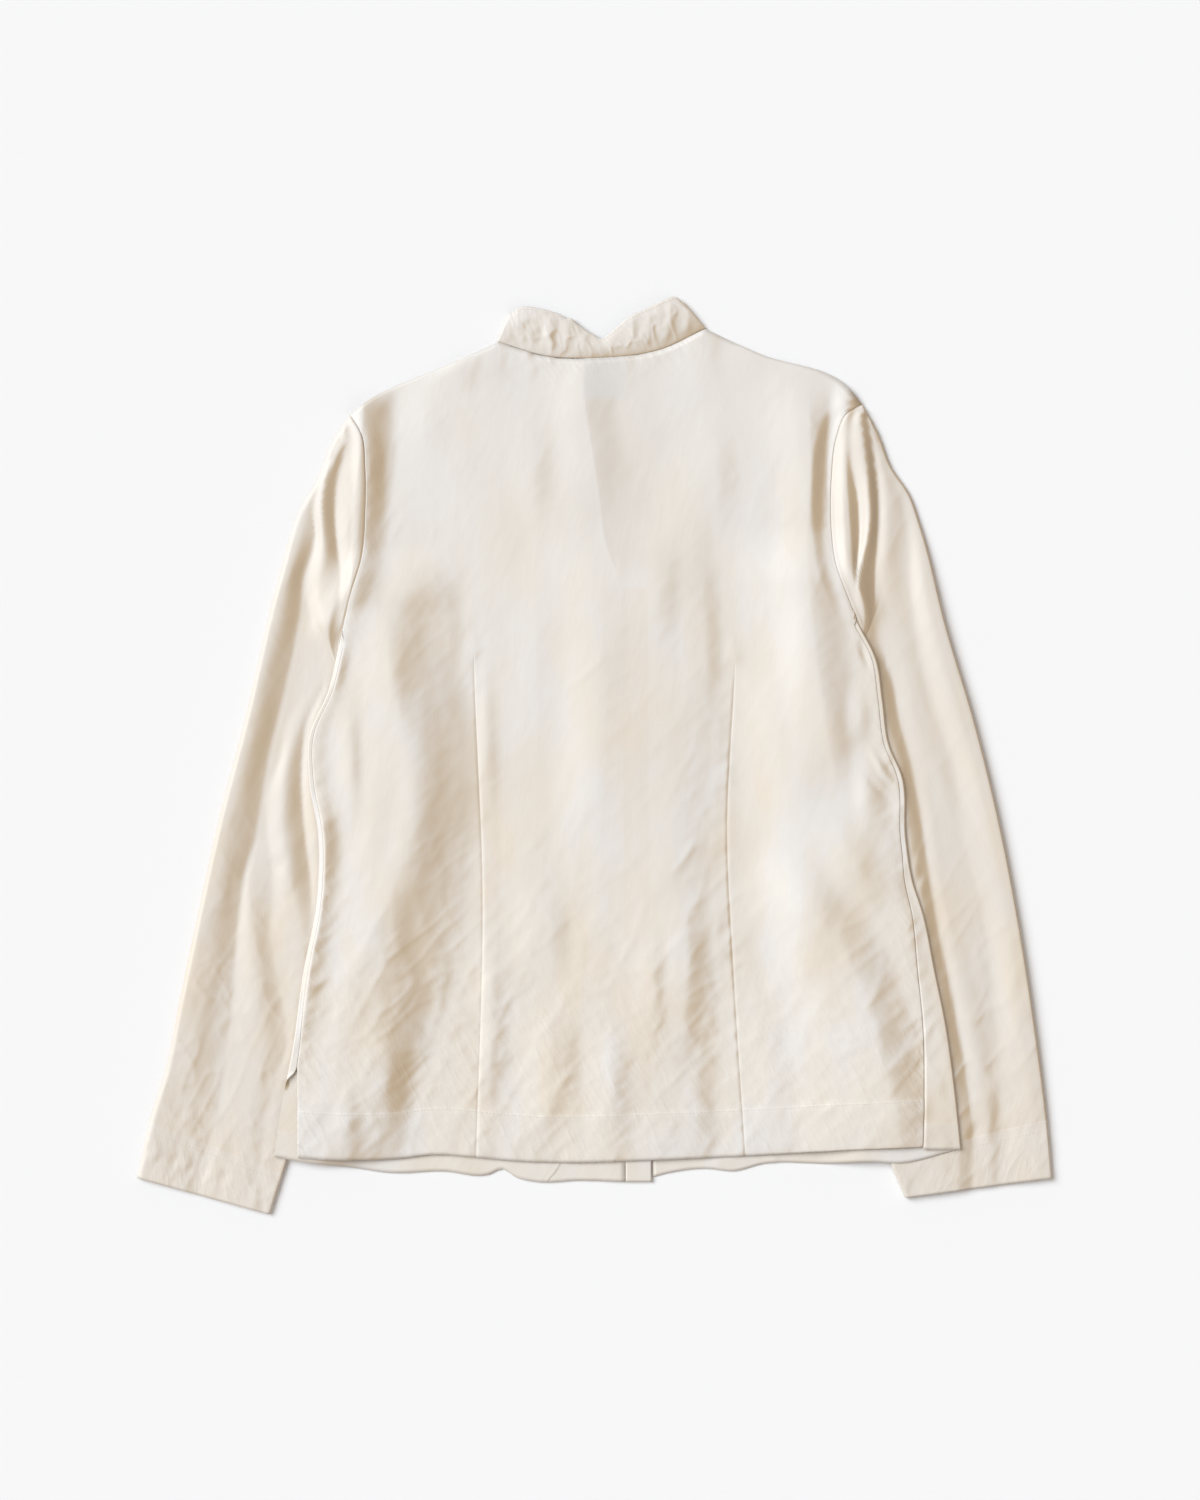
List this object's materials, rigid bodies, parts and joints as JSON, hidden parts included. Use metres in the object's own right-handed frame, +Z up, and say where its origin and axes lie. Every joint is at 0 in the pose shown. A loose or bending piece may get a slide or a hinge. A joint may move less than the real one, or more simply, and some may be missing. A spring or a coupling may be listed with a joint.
{
  "type": "silk blouse",
  "caption": "Long-sleeved silk blouse laid out flat with its back panel up: narrow stand collar, two back darts, V neckline and buttoned front underneath.",
  "frame": {"origin": "on the surface the blouse lies on, under the centre of its bounding box", "axes": "+Z up from the surface, +Y from the hem to the collar, +X to the right as seen from above, which is the wearer's right sleeve because the blouse lies front side down"},
  "size_m": [0.705, 0.7062, 0.0118],
  "materials": {
    "silk": "cream silk satin with a soft sheen",
    "label": "pale woven ribbon, blank",
    "button": "polished pearl"
  },
  "bodies": {
    "root": {"back": "silk", "front_left": "silk", "front_right": "silk", "placket_left": "silk", "placket_right": "silk", "sleeve_left": "silk", "sleeve_right": "silk", "collar": "silk", "neck_label": "label", "button_1": "button", "button_2": "button", "button_3": "button", "button_4": "button", "button_5": "button", "button_6": "button"}
  },
  "joints": []
}
